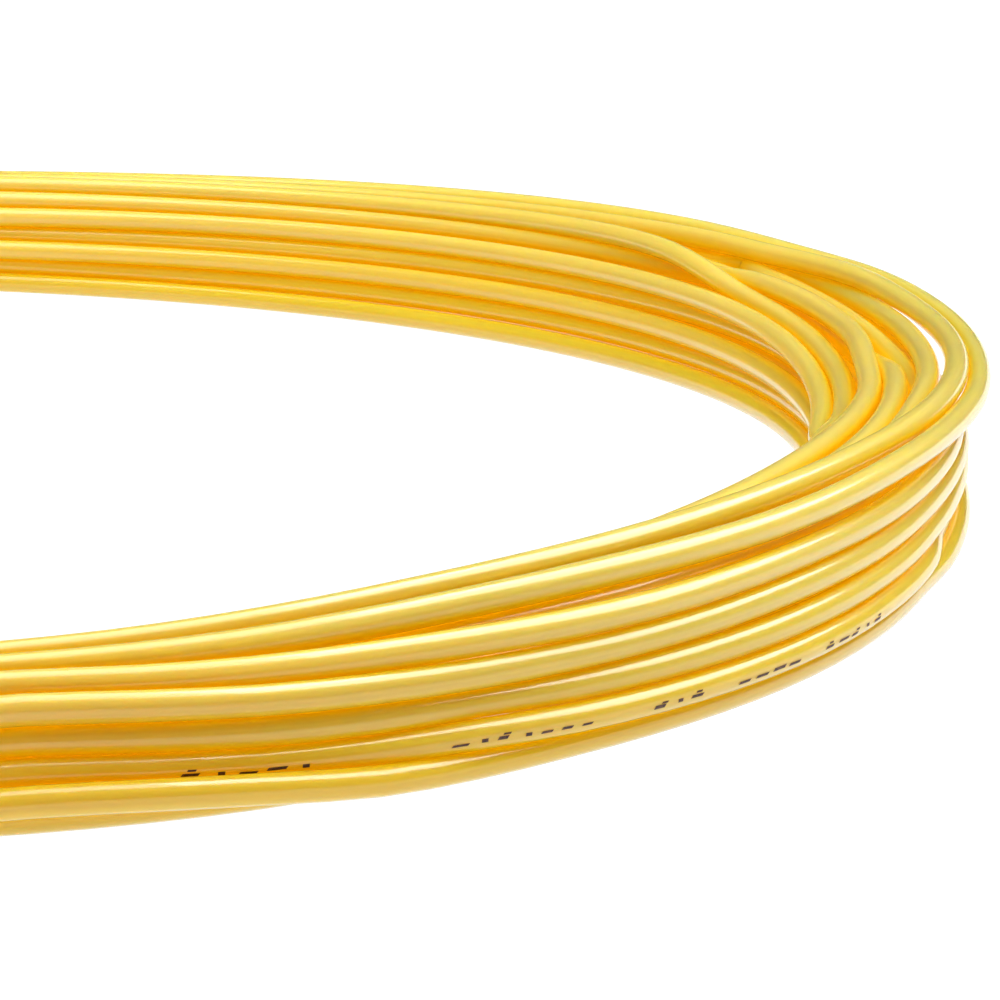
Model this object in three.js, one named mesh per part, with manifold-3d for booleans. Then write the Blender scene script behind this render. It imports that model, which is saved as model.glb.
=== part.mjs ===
// A set of racket string, wound into a free round coil and held by two twist ties.
//
// Millimetres, +Z up. The coil lies flat: its axis is Z, the table is z = 0, and the origin
// is on the axis at the table. The string itself is one piece. Its wound length is one
// ring with the outer shape of the bundle, necked in where a tie draws the turns together.
// Its two cut ends spring a little clear of the bundle and are tubes.
import * as THREE from "three";
import { mergeVertices } from "three/addons/utils/BufferGeometryUtils.js";
import Module from "manifold-3d";

// ---- driving dimensions -------------------------------------------------------------
const STRING_D = 1.25;          // string diameter, 17 gauge
const GAP = 0.3;                // clearance between pieces that touch
const BUNDLE_IN = 54.8;         // inner radius of the bundle
const BUNDLE_OUT = 65.4;        // outer radius of the bundle
const BUNDLE_TOP = 7.8;         // height of the bundle
const BUNDLE_FLAT = 2.0;        // how far the bundle's edges are rounded off
const RING_STEPS = 72;          // straight steps round the coil

const TIE_ANGLES = { tie_back: 112, tie_front: -112 };   // degrees from +X, seen from above
const TIE_RADIUS = 59.4;        // the middle of the necked bundle
const RIBBON_WIDTH = 4.0;       // along the string
const RIBBON_T = 0.45;          // ribbon thickness
const LOOP_HALF = 5.15;         // half the loop's outer width, across the bundle
const LOOP_BOTTOM = 0.05;
const LOOP_TOP = 8.5;
const LOOP_CORNER = 2.4;        // corner radius of the loop's outside
const NECK_LENGTH = 9.0;        // length of the neck cut in the bundle
const TWIST_LENGTH = 8.0;       // the two ribbon ends, wound round each other
const TWIST_TURNS = 1.75;
const TWIST_SECTION = [2.2, 1.3];
const TAB_LENGTH = 4.5;         // the loose ribbon past the twist
const TAB_SPLAY = 26;           // degrees each tab stands off the twist's line

// ---- colours ------------------------------------------------------------------------
const stringMaterial = new THREE.MeshStandardMaterial({
  color: 0xe8bf4e, roughness: 0.18, metalness: 0 });
const tieMaterial = new THREE.MeshStandardMaterial({
  color: 0x1f1f21, roughness: 0.45, metalness: 0 });

// ---- solids -------------------------------------------------------------------------
const wasm = await Module();
wasm.setup();

function solidOf(geometry) {
  const bare = geometry.clone();
  bare.deleteAttribute("normal");
  bare.deleteAttribute("uv");
  const merged = mergeVertices(bare, 1e-4);
  return new wasm.Manifold(new wasm.Mesh({
    numProp: 3,
    vertProperties: new Float32Array(merged.attributes.position.array),
    triVerts: new Uint32Array(merged.index.array),
  }));
}

function geometryOf(solid) {
  const mesh = solid.getMesh();
  const geometry = new THREE.BufferGeometry();
  geometry.setAttribute("position", new THREE.BufferAttribute(mesh.vertProperties, 3));
  geometry.setIndex(new THREE.BufferAttribute(mesh.triVerts, 1));
  geometry.computeVertexNormals();
  return geometry;
}

// A rounded rectangle across the bundle: x is outward, y is up.
function sectionShape(half, bottom, top, corner) {
  const shape = new THREE.Shape();
  shape.moveTo(-half + corner, bottom);
  shape.lineTo(half - corner, bottom);
  shape.absarc(half - corner, bottom + corner, corner, -Math.PI / 2, 0, false);
  shape.lineTo(half, top - corner);
  shape.absarc(half - corner, top - corner, corner, 0, Math.PI / 2, false);
  shape.lineTo(-half + corner, top);
  shape.absarc(-half + corner, top - corner, corner, Math.PI / 2, Math.PI, false);
  shape.lineTo(-half, bottom + corner);
  shape.absarc(-half + corner, bottom + corner, corner, Math.PI, 1.5 * Math.PI, false);
  return shape;
}

// Extrudes a section across the bundle along the string, centred on a tie's place.
function acrossBundle(shape, length, angle) {
  const geometry = new THREE.ExtrudeGeometry(shape, {
    depth: length, bevelEnabled: false, curveSegments: 5 });
  geometry.translate(0, 0, -length / 2);
  geometry.applyMatrix4(tiePlace(angle));
  return geometry;
}

// A tie's own frame: x is outward, y is up, z runs along the string.
function tiePlace(angle) {
  const turn = THREE.MathUtils.degToRad(angle);
  const outward = new THREE.Vector3(Math.cos(turn), Math.sin(turn), 0);
  const up = new THREE.Vector3(0, 0, 1);
  const along = new THREE.Vector3().crossVectors(outward, up);
  return new THREE.Matrix4()
    .makeBasis(outward, up, along)
    .setPosition(outward.multiplyScalar(TIE_RADIUS));
}

// ---- the wound string ---------------------------------------------------------------
function bundleRing() {
  const middle = (BUNDLE_IN + BUNDLE_OUT) / 2;
  const half = (BUNDLE_OUT - BUNDLE_IN) / 2;
  const outline = sectionShape(half, 0, BUNDLE_TOP, BUNDLE_FLAT).getPoints(1);
  const profile = outline.map((p) => new THREE.Vector2(p.x + middle, p.y));
  if (profile[0].distanceTo(profile[profile.length - 1]) > 1e-6) {
    profile.push(profile[0].clone());
  }
  const ring = new THREE.LatheGeometry(profile, RING_STEPS);
  ring.rotateX(Math.PI / 2);
  return ring;
}

function neckedBundle() {
  let bundle = solidOf(bundleRing());
  for (const angle of Object.values(TIE_ANGLES)) {
    const inset = RIBBON_T + GAP;
    const around = sectionShape(LOOP_HALF + 2, -2, BUNDLE_TOP + 2, 0.5);
    const neck = sectionShape(LOOP_HALF - inset, LOOP_BOTTOM + inset, LOOP_TOP - inset,
      LOOP_CORNER - inset);
    around.holes.push(neck);
    const cutter = solidOf(acrossBundle(around, NECK_LENGTH, angle));
    bundle = bundle.subtract(cutter);
  }
  return geometryOf(bundle);
}

// ---- the cut ends -------------------------------------------------------------------
// Each end is a list of [degrees round the coil, radius, height] from the bundle outwards.
const OUTER_END = [
  [194, 66.5, 3.0], [196, 66.6, 2.8], [198, 66.8, 2.6], [200, 67.0, 2.4], [202, 67.2, 2.2],
  [204, 67.4, 2.0], [206, 67.5, 1.8], [208, 67.6, 1.6], [210, 67.7, 1.5], [212, 67.8, 1.4],
  [214, 68.0, 1.3], [216, 68.2, 1.2], [218, 68.5, 1.1], [220, 68.8, 1.0], [222, 69.2, 0.9],
];
const INNER_END = [
  [152, 53.7, 3.6], [150, 53.5, 3.5], [148, 53.3, 3.4], [146, 53.1, 3.3], [144, 52.9, 3.2],
  [142, 52.7, 3.1], [140, 52.5, 3.0], [138, 52.3, 2.8], [136, 52.1, 2.6], [134, 51.9, 2.4],
  [132, 51.7, 2.2], [130, 51.5, 2.0], [128, 51.3, 1.8], [126, 51.1, 1.6], [124, 50.9, 1.4],
];

function endTube(places) {
  const points = places.map(([angle, radius, height]) => {
    const a = THREE.MathUtils.degToRad(angle);
    return new THREE.Vector3(radius * Math.cos(a), radius * Math.sin(a), height);
  });
  const section = new THREE.Shape();
  const corners = 8;
  for (let i = 0; i < corners; i += 1) {
    const a = (i + 0.5) * 2 * Math.PI / corners;
    const x = STRING_D / 2 * Math.cos(a);
    const y = STRING_D / 2 * Math.sin(a);
    if (i === 0) {
      section.moveTo(x, y);
    } else {
      section.lineTo(x, y);
    }
  }
  section.closePath();
  return new THREE.ExtrudeGeometry(section, {
    steps: places.length - 1,
    extrudePath: new THREE.CatmullRomCurve3(points),
    bevelEnabled: false,
  });
}

// ---- a twist tie --------------------------------------------------------------------
function twistBody(length) {
  const geometry = new THREE.BoxGeometry(TWIST_SECTION[0], TWIST_SECTION[1], length, 1, 1, 16);
  const position = geometry.attributes.position;
  for (let i = 0; i < position.count; i += 1) {
    const z = position.getZ(i) + length / 2;
    const turn = TWIST_TURNS * 2 * Math.PI * z / length;
    const x = position.getX(i);
    const y = position.getY(i);
    position.setXYZ(i, x * Math.cos(turn) - y * Math.sin(turn),
      x * Math.sin(turn) + y * Math.cos(turn), z);
  }
  return geometry;
}

function tieSolid(angle) {
  const loop = sectionShape(LOOP_HALF, LOOP_BOTTOM, LOOP_TOP, LOOP_CORNER);
  loop.holes.push(sectionShape(LOOP_HALF - RIBBON_T, LOOP_BOTTOM + RIBBON_T,
    LOOP_TOP - RIBBON_T, LOOP_CORNER - RIBBON_T));
  let tie = solidOf(acrossBundle(loop, RIBBON_WIDTH, angle));

  // The twist stands on the loop's upper outer corner and leans outward along the bundle.
  const root = new THREE.Vector3(LOOP_HALF - 1.6, LOOP_TOP - 0.2, 0);
  const lean = new THREE.Vector3(0.6, 0.42, angle > 0 ? 0.68 : -0.68).normalize();
  const wide = new THREE.Vector3(0, 0, 1).addScaledVector(lean, -lean.z).normalize();
  const thick = new THREE.Vector3().crossVectors(lean, wide);
  const place = tiePlace(angle);
  const stand = place.clone().multiply(
    new THREE.Matrix4().makeBasis(wide, thick, lean).setPosition(root));

  const twist = twistBody(TWIST_LENGTH);
  twist.applyMatrix4(stand);
  tie = tie.add(solidOf(twist));

  for (const side of [-1, 1]) {
    const tab = new THREE.BoxGeometry(RIBBON_WIDTH * 0.8, RIBBON_T, TAB_LENGTH);
    tab.translate(0, 0, TAB_LENGTH / 2);
    tab.rotateX(THREE.MathUtils.degToRad(side * TAB_SPLAY));
    tab.translate(0, side * -0.3, TWIST_LENGTH - 0.3);
    tab.rotateZ(TWIST_TURNS * 2 * Math.PI);
    tab.applyMatrix4(stand);
    tie = tie.add(solidOf(tab));
  }

  // Nothing of the tie reaches into the bundle inside its loop.
  const inside = sectionShape(LOOP_HALF - RIBBON_T, LOOP_BOTTOM + RIBBON_T,
    LOOP_TOP - RIBBON_T, LOOP_CORNER - RIBBON_T);
  return geometryOf(tie.subtract(solidOf(acrossBundle(inside, NECK_LENGTH * 2, angle))));
}

// ---- the object ---------------------------------------------------------------------
function piece(name, geometry, material) {
  const mesh = new THREE.Mesh(geometry, material);
  mesh.name = name;
  return mesh;
}

const stringSet = new THREE.Group();
stringSet.add(piece("string_coil", neckedBundle(), stringMaterial));
stringSet.add(piece("string_outer_end", endTube(OUTER_END), stringMaterial));
stringSet.add(piece("string_inner_end", endTube(INNER_END), stringMaterial));
for (const [name, angle] of Object.entries(TIE_ANGLES)) {
  stringSet.add(piece(name, tieSolid(angle), tieMaterial));
}

export default stringSet;
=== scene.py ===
"""A coil of translucent racket string held by two twist ties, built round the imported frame.

Lengths inside the script are millimetres until a mesh is made; angles are degrees, from +X,
anticlockwise seen from above. The string is one filament: its route is worked out turn by
turn, then its turns are eased apart until they lie against each other.
"""
import math

import bpy
import numpy as np
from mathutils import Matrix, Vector


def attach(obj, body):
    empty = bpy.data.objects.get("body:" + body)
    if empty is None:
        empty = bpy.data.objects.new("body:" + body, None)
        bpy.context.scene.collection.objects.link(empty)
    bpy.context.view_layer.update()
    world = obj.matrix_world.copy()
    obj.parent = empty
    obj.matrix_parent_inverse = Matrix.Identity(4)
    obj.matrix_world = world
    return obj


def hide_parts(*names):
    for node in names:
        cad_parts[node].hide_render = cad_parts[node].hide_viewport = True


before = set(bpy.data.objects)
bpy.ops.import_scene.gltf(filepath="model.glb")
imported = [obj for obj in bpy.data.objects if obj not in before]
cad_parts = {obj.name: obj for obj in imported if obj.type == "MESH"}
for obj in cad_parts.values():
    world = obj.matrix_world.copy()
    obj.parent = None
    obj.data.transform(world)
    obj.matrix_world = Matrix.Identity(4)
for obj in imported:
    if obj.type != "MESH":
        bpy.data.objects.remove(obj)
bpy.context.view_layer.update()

MM = 0.001
STRING_D = 1.25                    # 17 gauge string
FLOOR_GAP = 0.01                   # clearance of the lowest turn from the table


# ---- camera -------------------------------------------------------------------------
def add_camera():
    """A camera that looks down a little across the coil, at its right half."""
    pitch = math.radians(13.0)
    distance = 208.1
    aside = 37.69                  # how far right of the coil's axis the camera stands
    raised = 1.31                  # how far the axis lies above the middle of the view
    forward = np.array((0.0, math.cos(pitch), -math.sin(pitch)))
    upward = np.array((0.0, math.sin(pitch), math.cos(pitch)))
    place = np.array((aside, 0.0, 0.0)) - raised * upward - distance * forward
    data = bpy.data.cameras.new("camera")
    data.sensor_width = 36.0
    data.lens = 142.3
    data.clip_start = 0.005
    data.clip_end = 20.0
    camera = bpy.data.objects.new("camera", data)
    camera.location = place * MM
    camera.rotation_euler = (math.radians(90.0) - pitch, 0.0, 0.0)
    bpy.context.scene.collection.objects.link(camera)
    bpy.context.scene.camera = camera


add_camera()

# ---- the string's route -------------------------------------------------------------
TURNS = 32                         # times the string passes the +X side
STEPS = 90                         # places worked out per turn
TIE_ANGLES = {"tie_back": 112.0, "tie_front": -112.0}

# The bundle's section, for strand centres, at some angles round the coil:
# inner radius at the bottom and top, outer radius at the bottom and top, height of the top row.
SECTION = {
    -180: (55.5, 56.0, 63.0, 62.6, 7.0),
    -150: (55.2, 56.0, 63.2, 62.8, 7.0),
    -125: (55.8, 56.2, 62.9, 62.6, 7.1),
    -112: (56.0, 56.2, 62.8, 62.6, 7.1),
    -98: (56.4, 56.8, 63.0, 62.6, 6.9),
    -85: (57.0, 57.6, 63.7, 62.6, 6.3),
    -72: (57.3, 58.5, 64.5, 62.6, 5.9),
    -55: (57.3, 58.8, 65.9, 64.2, 6.8),
    -38: (56.4, 58.0, 65.0, 64.0, 7.2),
    -28: (55.6, 57.0, 63.2, 62.4, 7.1),
    -18: (55.2, 56.4, 61.2, 60.6, 6.8),
    -8: (55.0, 56.0, 60.3, 59.3, 6.5),
    4: (55.0, 55.8, 60.2, 58.9, 6.4),
    10: (55.0, 55.9, 60.4, 62.0, 6.6),
    18: (54.8, 56.0, 60.7, 61.8, 6.6),
    28: (54.0, 56.2, 61.2, 61.8, 6.9),
    45: (52.6, 56.0, 61.5, 62.2, 6.8),
    60: (52.8, 56.0, 61.6, 62.4, 6.6),
    75: (53.6, 56.2, 61.8, 62.6, 6.3),
    90: (55.9, 56.4, 62.0, 61.6, 6.2),
    112: (56.0, 56.2, 62.8, 62.6, 7.1),
    125: (55.8, 56.2, 62.9, 62.6, 7.1),
    150: (55.2, 56.2, 63.2, 62.8, 7.0),
    180: (55.5, 56.0, 63.0, 62.6, 7.0),
}

# Strands of the outer wall and top whose places are known: (radius, height) at WALL_ANGLES.
WALL_ANGLES = (-72, -64, -55, -48, -38, -28, -18, -8, 4, 18)
WALL = {
    "top_back": ((57.6, 4.7), (57.7, 4.8), (57.9, 5.0), (58.0, 5.1), (57.0, 5.1),
                 (56.4, 5.0), (55.8, 5.0), (55.6, 5.0), (55.6, 5.1), (55.9, 5.5)),
    "top_inner": ((58.7, 5.1), (58.9, 5.3), (59.3, 5.65), (59.4, 5.9), (58.5, 6.2),
                  (57.4, 6.2), (57.0, 6.2), (56.9, 6.2), (57.0, 6.2), (57.2, 6.4)),
    "top_middle": ((60.2, 5.55), (60.6, 5.95), (61.4, 6.7), (61.7, 7.05), (61.5, 7.3),
                   (61.2, 7.4), (61.2, 7.4), (61.2, 7.2), (61.2, 7.1), (61.0, 7.2)),
    "top_outer": ((62.0, 5.4), (63.2, 5.8), (64.2, 6.6), (64.3, 6.9), (64.0, 7.1),
                  (63.2, 7.3), (62.3, 6.9), (62.2, 6.6), (62.5, 6.7), (62.6, 7.0)),
    "wall_6": ((62.0, 4.5), (63.2, 5.0), (64.1, 5.7), (64.1, 5.9), (63.2, 5.9),
               (62.1, 5.8), (60.6, 5.6), (59.2, 5.6), (58.4, 5.6), (58.8, 5.8)),
    "wall_5": ((62.9, 5.1), (64.6, 5.0), (65.3, 5.2), (65.2, 5.4), (64.3, 5.5),
               (63.0, 5.4), (61.9, 5.2), (60.9, 5.0), (60.1, 4.9), (60.4, 4.9)),
    "wall_4": ((63.7, 4.6), (65.0, 4.1), (65.5, 4.1), (65.4, 4.2), (64.6, 4.4),
               (63.2, 4.3), (61.9, 4.4), (61.1, 4.2), (60.6, 3.9), (60.8, 4.0)),
    "wall_3": ((64.0, 3.6), (65.2, 3.2), (65.6, 3.0), (65.6, 2.9), (64.9, 2.9),
               (63.4, 2.9), (61.8, 2.7), (61.1, 2.5), (60.8, 2.6), (61.0, 2.8)),
    "wall_2": ((64.2, 2.65), (65.2, 2.2), (65.8, 1.8), (65.8, 1.7), (65.0, 1.6),
               (63.4, 1.7), (61.7, 1.4), (60.9, 1.4), (60.8, 1.6), (61.0, 1.7)),
    "wall_1": ((65.5, 1.55), (66.1, 1.2), (65.7, 0.75), (65.3, 0.65), (64.6, 0.65),
               (63.2, 0.65), (61.8, 0.65), (61.0, 0.65), (60.7, 0.65), (60.8, 0.65)),
    "wall_0": ((64.7, 0.65), (65.1, 0.65), (64.4, 0.65), (63.9, 0.65), (63.2, 0.65),
               (61.8, 0.65), (60.4, 0.65), (59.6, 0.65), (59.3, 0.65), (59.4, 0.65)),
}

# The order in which the string fills the bundle: (row from the bottom, place across it from
# the inner side) and, for a strand of the wall or top, its name above. It goes to and fro.
ROW_HEIGHTS = (0.0, 0.17, 0.35, 0.53, 0.70, 0.85, 1.0)
LANES = (
    (0, 0.0, ""), (0, 0.25, ""), (0, 0.5, ""), (0, 0.76, "wall_0"), (0, 1.0, "wall_1"),
    (1, 1.0, "wall_2"), (1, 0.75, ""), (1, 0.5, ""), (1, 0.25, ""), (1, 0.02, ""),
    (2, 0.0, ""), (2, 0.26, ""), (2, 0.5, ""), (2, 0.75, ""), (2, 1.0, "wall_3"),
    (3, 1.0, "wall_4"), (3, 0.75, ""), (3, 0.5, ""), (3, 0.25, ""), (3, 0.03, ""),
    (4, 0.05, ""), (4, 0.3, ""), (4, 0.55, ""), (4, 0.8, ""), (4, 1.0, "wall_5"),
    (5, 1.0, "wall_6"), (5, 0.68, ""), (5, 0.38, ""), (5, 0.08, "top_inner"),
    (6, 0.3, "top_back"), (6, 0.68, "top_middle"), (6, 1.0, "top_outer"),
)

# The cut ends, [degrees round the coil, radius, height], from the bundle outwards.
OUTER_END = [
    (194, 66.5, 3.0), (196, 66.6, 2.8), (198, 66.8, 2.6), (200, 67.0, 2.4), (202, 67.2, 2.2),
    (204, 67.4, 2.0), (206, 67.5, 1.8), (208, 67.6, 1.6), (210, 67.7, 1.5), (212, 67.8, 1.4),
    (214, 68.0, 1.3), (216, 68.2, 1.2), (218, 68.5, 1.1), (220, 68.8, 1.0), (222, 69.2, 0.9),
]
INNER_END = [
    (152, 53.7, 3.6), (150, 53.5, 3.5), (148, 53.3, 3.4), (146, 53.1, 3.3), (144, 52.9, 3.2),
    (142, 52.7, 3.1), (140, 52.5, 3.0), (138, 52.3, 2.8), (136, 52.1, 2.6), (134, 51.9, 2.4),
    (132, 51.7, 2.2), (130, 51.5, 2.0), (128, 51.3, 1.8), (126, 51.1, 1.6), (124, 50.9, 1.4),
]
CHANGE_HALF = 55.0                 # a turn moves to its next lane within this angle of -X

STAGGER = 0.31                     # alternate rows lie in each other's hollows
WANDER_ACROSS = 0.22               # how far a turn strays from its lane
WANDER_UP = 0.12
FADE = 20.0                        # degrees over which a known place gives way to the lane's
LOOSE, KNOWN, PINNED = 0.03, 0.5, 0.9    # how firmly the string holds to its target


def smooth_table(angles, values, at):
    """Values at the angles `at`, by a smooth cubic through a table given at `angles`."""
    angles = np.asarray(angles, float)
    values = np.asarray(values, float)
    slopes = np.gradient(values, angles)
    place = np.clip(np.searchsorted(angles, at, side="right") - 1, 0, len(angles) - 2)
    gap = angles[place + 1] - angles[place]
    t = (at - angles[place]) / gap
    a, b = values[place], values[place + 1]
    p, q = slopes[place] * gap, slopes[place + 1] * gap
    return (a * (2 * t**3 - 3 * t**2 + 1) + p * (t**3 - 2 * t**2 + t)
            + b * (3 * t**2 - 2 * t**3) + q * (t**3 - t**2))


def section_at(at):
    """The bundle's inner and outer radii and its height, at the given angles."""
    angles = sorted(SECTION)
    columns = np.array([SECTION[a] for a in angles]).T
    return [smooth_table(angles, column, at) for column in columns]


def lane_targets():
    """Each lane's (radius, height) at every angle step, and how firmly it holds there."""
    at = -180.0 + 360.0 * np.arange(STEPS) / STEPS
    in_low, in_high, out_low, out_high, top = section_at(at)
    places = np.zeros((len(LANES), STEPS, 2))
    hold = np.full((len(LANES), STEPS), LOOSE)
    lowest = STRING_D / 2 + FLOOR_GAP
    for i, (row, across, name) in enumerate(LANES):
        share = ROW_HEIGHTS[row]
        inner = in_low + (in_high - in_low) * share
        outer = out_low + (out_high - out_low) * share
        stagger = STAGGER if row % 2 else -STAGGER
        places[i, :, 0] = inner + (outer - inner) * across + stagger
        places[i, :, 1] = lowest + (top - lowest) * share
        places[i, :, 0] += WANDER_ACROSS * np.sin(np.radians(at) * (2 + i % 3) + 2.4 * i)
        places[i, :, 1] += WANDER_UP * np.cos(np.radians(at) * (3 + i % 2) + 1.7 * i)
        if name:
            known = np.array(WALL[name])
            near = (at >= WALL_ANGLES[0]) & (at <= WALL_ANGLES[-1])
            weight = np.clip(np.minimum((at - WALL_ANGLES[0] + FADE) / FADE,
                                        (WALL_ANGLES[-1] + FADE - at) / FADE), 0, 1)
            weight = weight * weight * (3 - 2 * weight)
            inside = np.clip(at, WALL_ANGLES[0], WALL_ANGLES[-1])
            for axis in (0, 1):
                value = smooth_table(WALL_ANGLES, known[:, axis], inside)
                places[i, :, axis] += weight * (value - places[i, :, axis])
            hold[i] += KNOWN * weight
            hold[i][near] = KNOWN
    return at, places, hold


def route_targets():
    """The whole string's targets, in order, from the inner cut end to the outer one."""
    at, places, hold = lane_targets()
    start = INNER_END[-1][0]
    end = 360.0 * TURNS + OUTER_END[-1][0]
    step = 360.0 / STEPS
    first = int(round((start + 180.0) / step))
    last = int(round((end + 180.0) / step))
    index = np.arange(first, last + 1)
    angle = -180.0 + index * step
    turn = np.floor_divide(angle + 180.0, 360.0).astype(int)
    slot = index % STEPS
    local = angle - 360.0 * turn
    lane = np.clip(turn - 1, 0, TURNS - 1)
    before = np.clip(turn - 2, 0, TURNS - 1)
    after = np.clip(turn, 0, TURNS - 1)
    target = places[lane, slot].copy()
    firm = hold[lane, slot].copy()
    for other, distance in ((before, local + 180.0), (after, 180.0 - local)):
        t = np.clip(0.5 - distance / (2 * CHANGE_HALF), 0, 0.5)
        share = (t * t * (3 - 2 * t))[:, None]
        target += share * (places[other, slot] - target)
    return index, angle, slot, target, firm


def pin_end(angle, target, firm, points, offset):
    """Puts the string's end on its given points."""
    points = sorted(points)
    given = np.array([p[0] for p in points], float) + offset
    inside = (angle >= given[0] - 0.01) & (angle <= given[-1] + 0.01)
    for axis in (0, 1):
        target[inside, axis] = np.interp(angle[inside], given, [p[axis + 1] for p in points])
    firm[inside] = PINNED


NECK_MIDDLE = (59.4, 4.27)
NECK_HALF = (3.72, 2.84)           # where strand centres may lie inside a tie's loop
NECK_POWER = 3.0                   # the loop's roundness: 2 is an ellipse, more is squarer
NECK_REACH = 11.0                  # the neck starts this many degrees from a tie
NECK_EASE = 8.0                    # and narrows over this many
NECK_FLARE = 0.5                   # how much wider it is where it starts


def neck_limits(slot_angle):
    """How far each angle is inside a tie's neck, 0 to 1."""
    share = np.zeros_like(slot_angle)
    for angle in TIE_ANGLES.values():
        away = np.abs(slot_angle - angle)
        share = np.maximum(share, np.clip((NECK_REACH - away) / NECK_EASE, 0, 1))
    return share


PULL, BEND, PUSH = 0.35, 0.32, 0.6    # towards the target, to a smooth line, off a neighbour
CLEARANCE = 1.012                  # turns are pushed this many string diameters apart


def relax(index, angle, slot, target, firm, rounds=300):
    """Eases the turns apart to about a string's thickness, and keeps the string smooth."""
    place = target.copy()
    rows = int(index[-1] // STEPS) + 1
    row = index // STEPS
    apart = STRING_D * CLEARANCE
    lowest = STRING_D / 2 + FLOOR_GAP
    slot_angle = -180.0 + 360.0 * np.arange(STEPS) / STEPS
    neck = neck_limits(slot_angle)[slot]
    softness = np.where(firm > 0.8, 0.0, 1.0 / (1.0 + 20.0 * firm))
    grid = np.full((rows, STEPS, 2), np.nan)
    give = np.zeros((rows, STEPS))
    give[row, slot] = softness
    for turn in range(rounds):
        ease = 1.0 - turn / rounds
        place += (firm * PULL * (0.25 + 0.75 * ease))[:, None] * (target - place)
        middle = 0.5 * (place[:-2] + place[2:])
        place[1:-1] += BEND * softness[1:-1, None] * (middle - place[1:-1])
        for _ in range(3):
            grid[row, slot] = place
            delta = grid[:, None] - grid[None, :]
            gap = np.sqrt((delta ** 2).sum(axis=3))
            with np.errstate(invalid="ignore", divide="ignore"):
                short = np.where((gap < apart) & (gap > 1e-9), apart - gap, 0.0)
                push = delta / np.maximum(gap, 1e-6)[..., None] * short[..., None]
            push = np.nan_to_num(push)
            share = give[:, None] / np.maximum(give[:, None] + give[None, :], 1e-6)
            move = (push * share[..., None]).sum(axis=1) * PUSH
            place += move[row, slot]
            place[:, 1] = np.maximum(place[:, 1], lowest)
        held = neck > 0
        u = (place[held] - NECK_MIDDLE) / NECK_HALF
        size = (np.abs(u) ** NECK_POWER).sum(axis=1) ** (1 / NECK_POWER)
        limit = 1.0 + NECK_FLARE * (1.0 - neck[held])
        shrink = np.minimum(1.0, limit / np.maximum(size, 1e-6))
        place[held] = NECK_MIDDLE + u * shrink[:, None] * NECK_HALF
    return place


def string_route():
    """The settled string: its angles, and its (radius, height) at each."""
    index, angle, slot, target, firm = route_targets()
    pin_end(angle, target, firm, INNER_END, 0.0)
    pin_end(angle, target, firm, OUTER_END, 360.0 * TURNS)
    place = relax(index, angle, slot, target, firm)
    return angle, place


def fine_route(angle, place, step=2.0):
    """The route at a finer step: its angles in degrees and its points in metres."""
    at = np.arange(angle[0], angle[-1] + 1e-6, step)
    radius = smooth_table(angle, place[:, 0], at)
    height = smooth_table(angle, place[:, 1], at)
    a = np.radians(at)
    points = np.stack((radius * np.cos(a), radius * np.sin(a), height), axis=1) * MM
    return at, points


# Painted shade on the string, from other turns close by and from the turns above.
SHADED_HEIGHT = 7.0                # millimetres up to which turns lie below others
SHADED_SHARE = 0.4                 # how much of the light the lowest of them loses
RAYS = (-75.0, -50.0, -25.0, 0.0, 25.0, 50.0, 75.0)    # degrees from straight out of the surface
EDGE_BLUR = 0.8                    # string radii over which a turn's edge fades out of a ray
RAY_REACH = 5.0                    # string radii over which a turn blocks less as it is farther


def painted_shade_openness(at, points, radius, sides):
    """How much of the half circle round each tube vertex is free of other turns, from 0 to 1.

    Worked out in the upright plane through each point and the coil's axis, where every turn
    is nearly a circle of the string's radius. The string's colour uses it as painted shade.
    """
    plane = np.stack((np.hypot(points[:, 0], points[:, 1]), points[:, 2]), axis=1)
    per_turn = int(round(360.0 / (at[1] - at[0])))
    turn = 2 * math.pi * np.arange(sides) / sides
    normal = np.stack((np.cos(turn), np.sin(turn)), axis=1)
    result = np.ones((len(at), sides))
    rays = np.radians(RAYS)
    weights = np.cos(rays) / np.cos(rays).sum()
    for phase in range(per_turn):
        rows = np.arange(phase, len(at), per_turn)
        centres = plane[rows]
        verts = centres[:, None] + radius * normal[None]
        away = centres[None, None] - verts[:, :, None]
        blocked = np.zeros((len(rows), sides))
        for ray, weight in zip(rays, weights):
            ray_x = np.cos(turn + ray)[None, :, None]
            ray_y = np.sin(turn + ray)[None, :, None]
            along = away[..., 0] * ray_x + away[..., 1] * ray_y
            across = np.abs(away[..., 0] * ray_y - away[..., 1] * ray_x)
            hit = np.clip(0.5 + (radius - across) / (EDGE_BLUR * radius), 0.0, 1.0)
            hit *= np.clip(1.4 - along / (RAY_REACH * radius), 0.0, 1.0) * (along > 0)
            hit[np.arange(len(rows)), :, np.arange(len(rows))] = 0.0
            blocked += weight * hit.max(axis=2)
        result[rows] = 1.0 - blocked
    # Painted shade: the lower turns are made darker, as if part of their light came through the ones
    # above them.
    height = np.clip(plane[:, 1] / (SHADED_HEIGHT * MM), 0.0, 1.0)
    return result * (1.0 - SHADED_SHARE + SHADED_SHARE * height[:, None])


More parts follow.
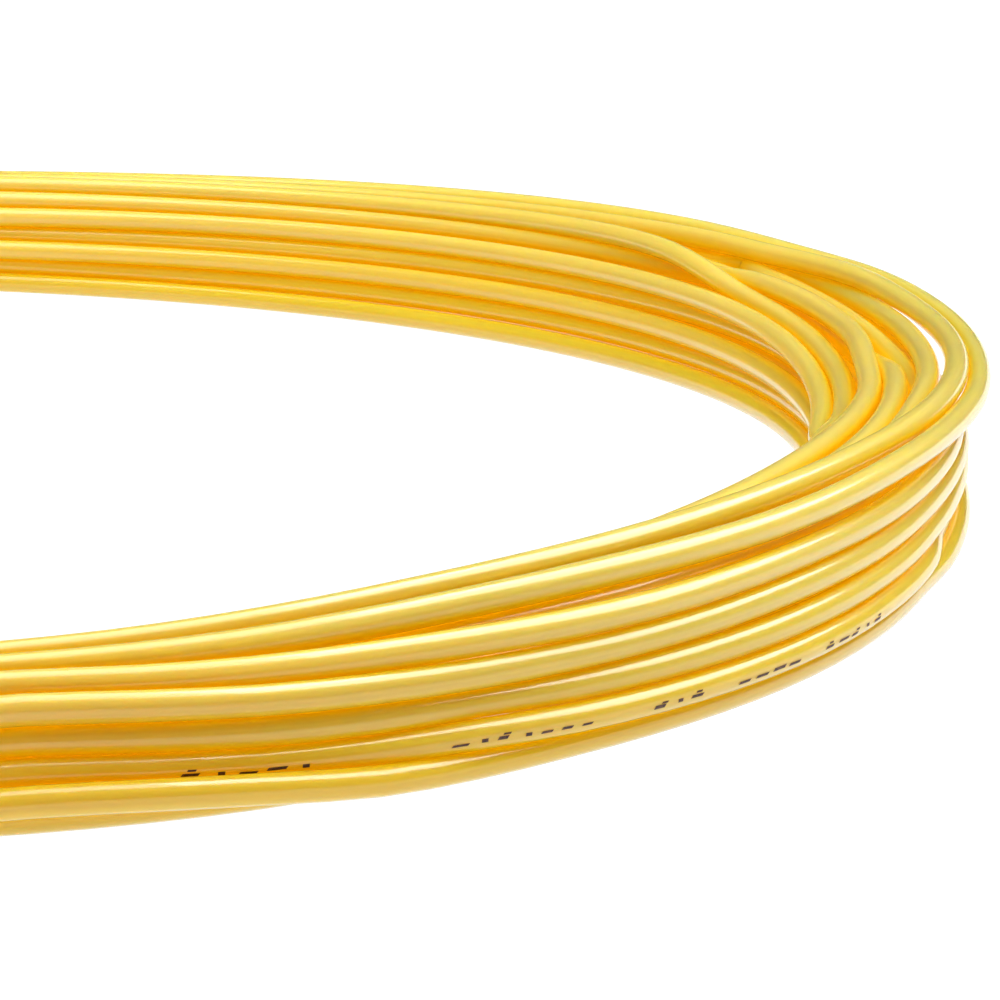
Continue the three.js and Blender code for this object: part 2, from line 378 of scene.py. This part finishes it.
def tube(name, points, radius, sides, painted_shade_values=None):
    """A closed round tube along the points. v runs round it from the outer side, over the top."""
    ahead = np.gradient(points, axis=0)
    ahead /= np.linalg.norm(ahead, axis=1)[:, None]
    up = np.array((0.0, 0.0, 1.0))
    outward = np.cross(ahead, up)
    outward /= np.linalg.norm(outward, axis=1)[:, None]
    over = np.cross(outward, ahead)
    count = len(points)
    turn = 2 * math.pi * np.arange(sides) / sides
    rings = (points[:, None] + radius * (np.cos(turn)[None, :, None] * outward[:, None]
                                         + np.sin(turn)[None, :, None] * over[:, None]))
    verts = np.concatenate((rings.reshape(-1, 3), points[:1], points[-1:]))
    here = np.arange(count - 1)[:, None] * sides
    side = np.arange(sides)[None, :]
    nxt = (side + 1) % sides
    quads = np.stack((here + side, here + sides + side, here + sides + nxt, here + nxt),
                     axis=2).reshape(-1, 4)
    first, last = count * sides, count * sides + 1
    tail = (count - 1) * sides
    caps = [(first, j, (j + 1) % sides) for j in range(sides)]
    caps += [(last, tail + (j + 1) % sides, tail + j) for j in range(sides)]
    mesh = bpy.data.meshes.new(name)
    mesh.from_pydata(verts.tolist(), [], quads.tolist() + caps)
    length = np.concatenate(((0.0,), np.cumsum(np.linalg.norm(np.diff(points, axis=0), axis=1))))
    layer = mesh.uv_layers.new(name="UVMap")
    u0 = np.repeat(length[:-1], sides)
    u1 = np.repeat(length[1:], sides)
    v0 = np.tile(np.arange(sides) / sides, count - 1)
    v1 = v0 + 1 / sides
    uv = np.stack((u0, v0, u1, v0, u1, v1, u0, v1), axis=1).reshape(-1)
    uv = np.concatenate((uv, np.zeros(2 * 3 * 2 * sides)))
    layer.data.foreach_set("uv", uv)
    mesh.polygons.foreach_set("use_smooth", [True] * len(quads) + [False] * len(caps))
    # The openness values carry the string's painted shade and the mask of its painted glow.
    if painted_shade_values is not None:
        values = np.concatenate((painted_shade_values.reshape(-1), (0.9, 0.9)))
        mesh.attributes.new("painted_shade_openness", "FLOAT", "POINT").data.foreach_set("value", values)
    mesh.validate()
    mesh.update()
    obj = bpy.data.objects.new(name, mesh)
    bpy.context.scene.collection.objects.link(obj)
    return obj


# ---- printed marks ------------------------------------------------------------------
INK_LANE = 5                       # the turn that carries the marks
INK_LIFT = 0.012                   # ink stands this far off the string
SIDE_TILT, TOP_TILT = -18.0, 20.0  # degrees round the string where a group's marks start
PATCH_STEPS = 5                    # points along and across one mark
# Groups of marks: first and last angle round the coil, and how many marks.
INK_GROUPS = (
    (-66.9, -62.0, 5), (-57.3, -51.2, 7), (-48.7, -45.9, 3), (-44.2, -40.0, 4),
    (-38.4, -33.0, 5), (20.0, 30.0, 10), (70.0, 80.0, 10), (160.0, 170.0, 10), (-170.0, -160.0, 10),
)
TOP_INK = (28, -36.2, -34.2, 3)    # one short group on the inner top turn


def printed_marks(at, points):
    """Generic dashes and dots of ink, wrapped on the string's side. They spell nothing."""
    rng = np.random.default_rng(5)
    verts, faces = [], []
    ahead = np.gradient(points, axis=0)
    ahead /= np.linalg.norm(ahead, axis=1)[:, None]
    up = np.array((0.0, 0.0, 1.0))
    radius = (STRING_D / 2 + INK_LIFT) * MM

    def patch(angle, length, low, high, slant):
        """One mark: length in degrees round the coil, low and high in degrees round the string."""
        base = len(verts)
        for i in range(PATCH_STEPS):
            for j in range(PATCH_STEPS):
                share_along = i / (PATCH_STEPS - 1)
                share_round = j / (PATCH_STEPS - 1)
                round_string = math.radians(low + (high - low) * share_round)
                here = angle + length * share_along + slant * share_round
                middle = np.array([np.interp(here, at, points[:, k]) for k in range(3)])
                along = np.array([np.interp(here, at, ahead[:, k]) for k in range(3)])
                along /= np.linalg.norm(along)
                outward = np.cross(along, up)
                outward /= np.linalg.norm(outward)
                over = np.cross(outward, along)
                way = math.cos(round_string) * outward + math.sin(round_string) * over
                verts.append(middle + radius * way)
        for i in range(PATCH_STEPS - 1):
            for j in range(PATCH_STEPS - 1):
                k = base + i * PATCH_STEPS + j
                faces.append((k, k + PATCH_STEPS, k + PATCH_STEPS + 1, k + 1))

    def group(lane, first, last, count, tilt):
        """A row of dashes and dots between two angles on one lane's turn."""
        start = 360.0 * (lane + 1)
        pitch = (last - first) / count
        for i in range(count):
            angle = start + first + pitch * i
            low = tilt + rng.uniform(-4, 4)
            if rng.random() < 0.25:
                patch(angle + 0.3 * pitch, 0.25, low, low + 14, 0.0)
            else:
                patch(angle, pitch * rng.uniform(0.45, 0.75), low, low + rng.uniform(9, 15), 0.08)
                if rng.random() < 0.4:
                    patch(angle + pitch * rng.uniform(0.1, 0.4), 0.3, low + 17, low + 24, 0.05)

    for first, last, count in INK_GROUPS:
        group(INK_LANE, first, last, count, SIDE_TILT)
    lane, first, last, count = TOP_INK
    group(lane, first, last, count, TOP_TILT)
    mesh = bpy.data.meshes.new("printed_marks")
    mesh.from_pydata([tuple(v) for v in verts], [], faces)
    mesh.update()
    marks = bpy.data.objects.new("printed_marks", mesh)
    bpy.context.scene.collection.objects.link(marks)
    return marks


# ---- twist ties ---------------------------------------------------------------------
TIE_RADIUS = 59.4                  # the middle of the necked bundle
LOOP_HALF = 5.15                   # half the loop's outer width, across the bundle
LOOP_BOTTOM = 0.05
LOOP_TOP = 8.5
LOOP_CORNER = 2.4
RIBBON_HALF = 2.0                  # half the ribbon's width
RIBBON_ROOM = 0.45                 # room the ribbon takes in the frame
RIBBON_T = 0.2
BEAD = 0.26                        # half thickness over the wire
TWIST_LENGTH = 8.0
TWIST_TURNS = 1.75
TWIST_HALF = 1.1                   # half the crumpled ribbon's width in the twist
TWIST_OFFSET = 0.3
TAB_LENGTH = 4.5
TAB_SPLAY = math.radians(26.0)
TAB_HALF = 1.6
LEAN = (0.6, 0.42, 0.68)           # the twist's direction: outward, up and along the string
ROOT_IN = 1.6                      # the twist starts this far in from the loop's outer side
WIRE_D = 0.4
WIRE_SIDES = 12
WIRE_SHOW = 0.7                    # bare wire past the ribbon's end


def loop_path():
    """Middle of the ribbon round the bundle (outward, up), from the tie's root over the outer side."""
    half = LOOP_HALF - RIBBON_ROOM / 2
    low = LOOP_BOTTOM + RIBBON_ROOM / 2
    high = LOOP_TOP - RIBBON_ROOM / 2
    corner = LOOP_CORNER - RIBBON_ROOM / 2
    path = []
    centres = ((half - corner, high - corner, 90), (half - corner, low + corner, 0),
               (-half + corner, low + corner, -90), (-half + corner, high - corner, -180))
    for x, y, start in centres:
        for i in range(9):
            a = math.radians(start - 90 * i / 8)
            path.append((x + corner * math.cos(a), y + corner * math.sin(a)))
    return path


def tie_route(side):
    """Points, width directions and half widths of the whole ribbon in the tie's own frame."""
    lean = np.array((LEAN[0], LEAN[1], LEAN[2] * side))
    lean /= np.linalg.norm(lean)
    width = np.array((0.0, 0.0, 1.0)) - lean[2] * lean
    width /= np.linalg.norm(width)
    off = np.cross(lean, width)
    off *= math.copysign(1.0, off[0])
    third = np.cross(lean, off)
    flat = np.array((0.0, 0.0, 1.0))
    root = np.array((LOOP_HALF - ROOT_IN, LOOP_TOP - RIBBON_T, 0.0))

    def twisted(sign):
        """One end, from the root up the twist and out along its tab."""
        rows = []
        for i in range(41):
            share = i / 40
            turn = TWIST_TURNS * 2 * math.pi * share
            away = math.cos(turn) * off + math.sin(turn) * third
            wide = np.cross(away, lean)
            place = root + lean * (TWIST_LENGTH * share) + sign * TWIST_OFFSET * away
            rows.append((place, wide, TWIST_HALF))
        end, wide = rows[-1][0], rows[-1][1]
        splay = math.cos(TAB_SPLAY) * lean + math.sin(TAB_SPLAY) * sign * away
        for i in range(1, 11):
            share = i / 10
            bend = min(1.0, share * 3)
            way = (1 - bend) * lean + bend * splay
            end = end + way / np.linalg.norm(way) * TAB_LENGTH / 10
            rows.append((end, wide, TWIST_HALF + (TAB_HALF - TWIST_HALF) * min(1.0, share * 2.5)))
        return rows

    outer, inner = twisted(1.0), twisted(-1.0)
    loop = [(np.array((x, y, 0.0)), flat, RIBBON_HALF) for x, y in loop_path()]
    flip_outer = 1.0 if outer[0][1][2] > 0 else -1.0
    flip_inner = 1.0 if inner[0][1][2] > 0 else -1.0
    outer = [(p, flip_outer * w, h) for p, w, h in outer]
    inner = [(p, flip_inner * w, h) for p, w, h in inner]
    rows = outer[::-1] + loop + inner
    return ([r[0] for r in rows], [r[1] for r in rows], [r[2] for r in rows])


def smooth_rows(points, widths, halves, spacing=0.3):
    """Resamples the ribbon evenly and rounds the places where its parts meet."""
    points, widths, halves = np.array(points), np.array(widths), np.array(halves)
    length = np.concatenate(((0.0,), np.cumsum(np.linalg.norm(np.diff(points, axis=0), axis=1))))
    at = np.linspace(0, length[-1], int(length[-1] / spacing))
    points = np.stack([np.interp(at, length, points[:, k]) for k in range(3)], axis=1)
    widths = np.stack([np.interp(at, length, widths[:, k]) for k in range(3)], axis=1)
    halves = np.interp(at, length, halves)
    for _ in range(3):
        points[1:-1] = 0.25 * points[:-2] + 0.5 * points[1:-1] + 0.25 * points[2:]
        widths[1:-1] = 0.25 * widths[:-2] + 0.5 * widths[1:-1] + 0.25 * widths[2:]
        halves[1:-1] = 0.25 * halves[:-2] + 0.5 * halves[1:-1] + 0.25 * halves[2:]
    return at, points, widths, halves


def sweep(name, sections):
    """A mesh through equal rings of points, in metres, capped at both ends."""
    count, around = sections.shape[:2]
    verts = sections.reshape(-1, 3)
    faces = []
    for i in range(count - 1):
        for j in range(around):
            k = (j + 1) % around
            here, ahead = i * around, (i + 1) * around
            faces.append((here + j, here + k, ahead + k, ahead + j))
    faces.append(tuple(range(around - 1, -1, -1)))
    faces.append(tuple((count - 1) * around + j for j in range(around)))
    mesh = bpy.data.meshes.new(name)
    mesh.from_pydata(verts.tolist(), [], faces)
    mesh.polygons.foreach_set("use_smooth", [True] * (len(faces) - 2) + [False, False])
    mesh.validate()
    mesh.update()
    obj = bpy.data.objects.new(name, mesh)
    bpy.context.scene.collection.objects.link(obj)
    return obj


# The ribbon's section, (across, thick): flat film with a round ridge over the wire. The
# outermost points move out to the ribbon's edge.
FILM = RIBBON_T / 2
HALF_SECTION = (
    (1.0, FILM), (0.55, FILM), (0.36, 0.11), (0.22, 0.2), (0.0, BEAD),
    (-0.22, 0.2), (-0.36, 0.11), (-0.55, FILM), (-1.0, FILM),
)
RIBBON_SECTION = tuple((-across, -thick) for across, thick in HALF_SECTION) + HALF_SECTION


def tie_to_world(points, angle):
    """Turns (outward, up, along the string) at a tie into metres."""
    turn = math.radians(angle)
    outward = np.array((math.cos(turn), math.sin(turn), 0.0))
    up = np.array((0.0, 0.0, 1.0))
    along = np.cross(outward, up)
    points = np.asarray(points)
    return ((TIE_RADIUS + points[..., :1]) * outward + points[..., 1:2] * up
            + points[..., 2:3] * along) * MM


def twist_tie(name, angle):
    """The ribbon and its wire's two bare tips."""
    at, points, widths, halves = smooth_rows(*tie_route(math.copysign(1.0, angle)))
    ahead = np.gradient(points, axis=0)
    ahead /= np.linalg.norm(ahead, axis=1)[:, None]
    widths -= (widths * ahead).sum(axis=1)[:, None] * ahead
    widths /= np.linalg.norm(widths, axis=1)[:, None]
    normal = np.cross(ahead, widths)
    rings = []
    for i in range(len(points)):
        half = halves[i] * (1 + 0.025 * math.sin(1.9 * at[i]) + 0.02 * math.sin(4.3 * at[i] + 1))
        ring = []
        for across, thick in RIBBON_SECTION:
            if abs(across) < 0.5:
                wide = across
            else:
                wide = math.copysign(0.5 + (abs(across) - 0.5) / 0.5 * (half - 0.5), across)
            ring.append(points[i] + wide * widths[i] + thick * normal[i])
        rings.append(ring)
    ribbon = sweep(name + "_ribbon", tie_to_world(rings, angle))
    tips = []
    for label, end, way in (("a", points[0], -ahead[0]), ("b", points[-1], ahead[-1])):
        side = widths[0] if label == "a" else widths[-1]
        other = np.cross(way, side)
        rings = []
        for step, size in ((-0.6, 1.0), (WIRE_SHOW - 0.04, 1.0), (WIRE_SHOW, 0.75)):
            ring = []
            for k in range(WIRE_SIDES):
                a = 2 * math.pi * k / WIRE_SIDES
                spoke = math.cos(a) * side + math.sin(a) * other
                ring.append(end + step * way + size * WIRE_D / 2 * spoke)
            rings.append(ring)
        tips.append(sweep(name + "_wire_" + label, tie_to_world(rings, angle)))
    return ribbon, tips


# ---- materials ----------------------------------------------------------------------
def new_material(name):
    """A material with one Principled shader, and its nodes and links."""
    material = bpy.data.materials.new(name)
    material.use_nodes = True
    nodes = material.node_tree.nodes
    nodes.clear()
    out = nodes.new("ShaderNodeOutputMaterial")
    shader = nodes.new("ShaderNodeBsdfPrincipled")
    material.node_tree.links.new(shader.outputs["BSDF"], out.inputs["Surface"])
    return material, nodes, material.node_tree.links, shader


def ramp(nodes, stops):
    """A colour ramp with the given (position, colour) stops."""
    node = nodes.new("ShaderNodeValToRGB")
    elements = node.color_ramp.elements
    elements[0].position, elements[0].color = stops[0][0], (*stops[0][1], 1)
    elements[1].position, elements[1].color = stops[-1][0], (*stops[-1][1], 1)
    for position, colour in stops[1:-1]:
        elements.new(position).color = (*colour, 1)
    return node


TRANSMISSION = 0.4
SSS_SCALE = 0.0007                 # metres
SSS_RADIUS = (1.0, 0.8, 0.35)      # red light spreads farthest in the string
# Strength and colour of the painted glow where turns lie close together.
PAINTED_GLOW = 0.2
PAINTED_GLOW_COLOUR = (1.0, 0.64, 0.0, 1)
STREAKS = (60.0, 14.0, 1.0)        # streaks per metre along the string, and per turn round it
# The string's colour with painted shade: deeper and darker orange where other turns close it in, paler
# where it lies open.
BODY_AND_SHADE_STOPS = ((0.05, (0.88, 0.46, 0.0)), (0.3, (0.88, 0.57, 0.0)),
              (0.55, (0.88, 0.68, 0.02)), (0.9, (0.89, 0.77, 0.16)))


def string_material():
    """Clear golden nylon: part of the light goes through, the rest is scattered inside it. Painted
    shade and a painted glow mark where turns lie close.
    """
    material, nodes, links, shader = new_material("clear_gold_string")
    shader.inputs["Roughness"].default_value = 0.3
    shader.inputs["IOR"].default_value = 1.5
    shader.inputs["Transmission Weight"].default_value = TRANSMISSION
    shader.inputs["Subsurface Weight"].default_value = 1.0
    shader.inputs["Subsurface Radius"].default_value = SSS_RADIUS
    shader.inputs["Subsurface Scale"].default_value = SSS_SCALE
    shader.inputs["Coat Weight"].default_value = 0.7
    shader.inputs["Coat Roughness"].default_value = 0.05
    shader.inputs["Coat IOR"].default_value = 1.5
    shader.inputs["Specular IOR Level"].default_value = 0.35

    # Painted shade: the colour is made deeper and darker where other turns close a strand in.
    painted_shade_mask = nodes.new("ShaderNodeAttribute")
    painted_shade_mask.attribute_name = "painted_shade_openness"
    body_and_shade_colour = ramp(nodes, BODY_AND_SHADE_STOPS)
    links.new(painted_shade_mask.outputs["Fac"], body_and_shade_colour.inputs["Fac"])

    # Fine streaks drawn out along the string.
    uv = nodes.new("ShaderNodeUVMap")
    uv.uv_map = "UVMap"
    stretch = nodes.new("ShaderNodeMapping")
    stretch.inputs["Scale"].default_value = STREAKS
    links.new(uv.outputs["UV"], stretch.inputs["Vector"])
    streaks = nodes.new("ShaderNodeTexNoise")
    streaks.inputs["Scale"].default_value = 1.0
    streaks.inputs["Detail"].default_value = 4.0
    links.new(stretch.outputs["Vector"], streaks.inputs["Vector"])
    tone = nodes.new("ShaderNodeMapRange")
    tone.inputs["From Min"].default_value = 0.3
    tone.inputs["From Max"].default_value = 0.7
    tone.inputs["To Min"].default_value = 0.94
    tone.inputs["To Max"].default_value = 1.03
    links.new(streaks.outputs["Fac"], tone.inputs["Value"])
    colour = nodes.new("ShaderNodeVectorMath")
    colour.operation = "MULTIPLY"
    links.new(body_and_shade_colour.outputs["Color"], colour.inputs[0])
    links.new(tone.outputs["Result"], colour.inputs[1])
    links.new(colour.outputs["Vector"], shader.inputs["Base Color"])
    bump = nodes.new("ShaderNodeBump")
    bump.inputs["Strength"].default_value = 0.06
    bump.inputs["Distance"].default_value = 0.00004
    links.new(streaks.outputs["Fac"], bump.inputs["Height"])
    links.new(bump.outputs["Normal"], shader.inputs["Normal"])

    # Painted glow: a faint orange emission where other turns close a strand in, though the string is
    # no lamp.
    painted_glow = ramp(nodes, ((0.0, (PAINTED_GLOW, PAINTED_GLOW, PAINTED_GLOW)), (0.6, (0.0, 0.0, 0.0))))
    links.new(painted_shade_mask.outputs["Fac"], painted_glow.inputs["Fac"])
    links.new(painted_glow.outputs["Color"], shader.inputs["Emission Strength"])
    shader.inputs["Emission Color"].default_value = PAINTED_GLOW_COLOUR
    return material


def grain(nodes, links, scale, detail=3.0):
    """Noise in the object's own space; scale is features per metre."""
    coords = nodes.new("ShaderNodeTexCoord")
    noise = nodes.new("ShaderNodeTexNoise")
    noise.inputs["Scale"].default_value = scale
    noise.inputs["Detail"].default_value = detail
    links.new(coords.outputs["Object"], noise.inputs["Vector"])
    return noise


def ribbon_material():
    """Black plastic film laid over a wire, a little creased."""
    material, nodes, links, shader = new_material("black_film")
    creases = grain(nodes, links, 1100.0, 5.0)
    tint = ramp(nodes, ((0.35, (0.016, 0.016, 0.018)), (0.65, (0.032, 0.032, 0.034))))
    links.new(creases.outputs["Fac"], tint.inputs["Fac"])
    wear = nodes.new("ShaderNodeMapRange")
    wear.inputs["To Min"].default_value = 0.28
    wear.inputs["To Max"].default_value = 0.5
    links.new(creases.outputs["Fac"], wear.inputs["Value"])
    links.new(wear.outputs["Result"], shader.inputs["Roughness"])
    links.new(tint.outputs["Color"], shader.inputs["Base Color"])
    bump = nodes.new("ShaderNodeBump")
    bump.inputs["Strength"].default_value = 0.35
    bump.inputs["Distance"].default_value = 0.0001
    links.new(creases.outputs["Fac"], bump.inputs["Height"])
    links.new(bump.outputs["Normal"], shader.inputs["Normal"])
    return material


def wire_material():
    """Plain steel wire, with fine scuffs."""
    material, nodes, links, shader = new_material("bare_wire")
    shader.inputs["Metallic"].default_value = 1.0
    shader.inputs["Roughness"].default_value = 0.32
    scuffs = grain(nodes, links, 2600.0, 2.0)
    tint = ramp(nodes, ((0.35, (0.42, 0.41, 0.40)), (0.65, (0.66, 0.65, 0.63))))
    links.new(scuffs.outputs["Fac"], tint.inputs["Fac"])
    links.new(tint.outputs["Color"], shader.inputs["Base Color"])
    return material


def ink_material():
    """Thin dark brown ink, patchy where it did not take."""
    material, nodes, links, shader = new_material("brown_ink")
    shader.inputs["Roughness"].default_value = 0.5
    patches = grain(nodes, links, 4000.0, 2.0)
    tint = ramp(nodes, ((0.4, (0.035, 0.012, 0.010)), (0.62, (0.11, 0.045, 0.022))))
    links.new(patches.outputs["Fac"], tint.inputs["Fac"])
    links.new(tint.outputs["Color"], shader.inputs["Base Color"])
    return material


FLOOR_GLOW = 1.0                   # the table is a light table, so shadows on it are faint


def stage_material():
    """White paper lit from below."""
    material, _, _, shader = new_material("white_paper")
    shader.inputs["Base Color"].default_value = (0.1, 0.1, 0.1, 1)
    shader.inputs["Roughness"].default_value = 0.9
    shader.inputs["Specular IOR Level"].default_value = 0.1
    shader.inputs["Emission Color"].default_value = (1, 1, 1, 1)
    shader.inputs["Emission Strength"].default_value = FLOOR_GLOW
    return material


def set_film():
    """A plain photographic response, and enough bounces to see through a bundle of strands."""
    scene = bpy.context.scene
    scene.view_settings.view_transform = "Standard"
    scene.cycles.max_bounces = 16
    scene.cycles.transmission_bounces = 16


set_film()


# ---- stage --------------------------------------------------------------------------
FLOOR_SIZE = 6.0                   # metres
FLOOR_DROP = 0.00005               # the paper lies this far under the coil
WALLS = 1.1                        # brightness of the room at eye height, and of its ceiling
CEILING = 0.5


def add_stage():
    """The table, and a room with bright walls and a dimmer ceiling."""
    bpy.ops.mesh.primitive_plane_add(size=FLOOR_SIZE, location=(0, 0, -FLOOR_DROP))
    floor = bpy.context.object
    floor.name = "floor"
    floor.data.materials.append(stage_material())
    world = bpy.data.worlds.new("white_room")
    world.use_nodes = True
    nodes, links = world.node_tree.nodes, world.node_tree.links
    direction = nodes.new("ShaderNodeTexCoord")
    parts = nodes.new("ShaderNodeSeparateXYZ")
    links.new(direction.outputs["Generated"], parts.inputs["Vector"])
    walls = nodes.new("ShaderNodeMapRange")
    walls.interpolation_type = "SMOOTHSTEP"
    walls.inputs["From Min"].default_value = 0.45
    walls.inputs["From Max"].default_value = 0.65
    walls.inputs["To Min"].default_value = WALLS
    walls.inputs["To Max"].default_value = CEILING
    links.new(parts.outputs["Z"], walls.inputs["Value"])
    links.new(walls.outputs["Result"], nodes["Background"].inputs["Strength"])
    bpy.context.scene.world = world


def add_softbox(name, place, target, size, watts, mirrored=True, seen=True):
    """A rectangular light in metres, aimed at a point. Some are kept out of gloss or view."""
    data = bpy.data.lights.new(name, "AREA")
    data.shape = "RECTANGLE"
    data.size, data.size_y = size
    data.energy = watts
    light = bpy.data.objects.new(name, data)
    light.visible_glossy = mirrored
    light.visible_camera = seen
    light.location = place
    aim = np.array(target) - np.array(place)
    light.rotation_euler = Vector(aim).to_track_quat("-Z", "Y").to_euler()
    bpy.context.scene.collection.objects.link(light)


add_stage()
add_softbox("side_softbox", (0.36, 0.12, 0.46), (0.04, -0.02, 0), (0.5, 0.5), 5.0)
add_softbox("overhead_softbox", (0.0, 0.0, 0.2), (0.0, 0.001, 0.0), (0.2, 0.2), 0.4, seen=False)
add_softbox("inner_softbox", (-0.015, -0.01, 0.05), (-0.015, 0.06, 0.0), (0.1, 0.03), 0.02,
            mirrored=False, seen=False)
add_softbox("fill_softbox", (0.0, -0.25, 0.75), (0.0, 0.0, 0.0), (1.0, 0.8), 1.0, mirrored=False)

# ---- the string ---------------------------------------------------------------------
SIDES = 16                         # of the string's tube

angle, place = string_route()
at, points = fine_route(angle, place)
string = tube("racket_string", points, STRING_D / 2 * MM, SIDES,
              painted_shade_openness(at, points, STRING_D / 2 * MM, SIDES))
string.data.materials.append(string_material())
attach(string, "root")
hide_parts("string_coil", "string_outer_end", "string_inner_end")

marks = printed_marks(at, points)
marks.data.materials.append(ink_material())
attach(marks, "root")

# ---- the ties -----------------------------------------------------------------------
film = ribbon_material()
wire = wire_material()
for node, tie_angle in TIE_ANGLES.items():
    ribbon, tips = twist_tie(node, tie_angle)
    ribbon.data.materials.append(film)
    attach(ribbon, "root")
    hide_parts(node)
    for tip in tips:
        tip.data.materials.append(wire)
        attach(tip, "root")
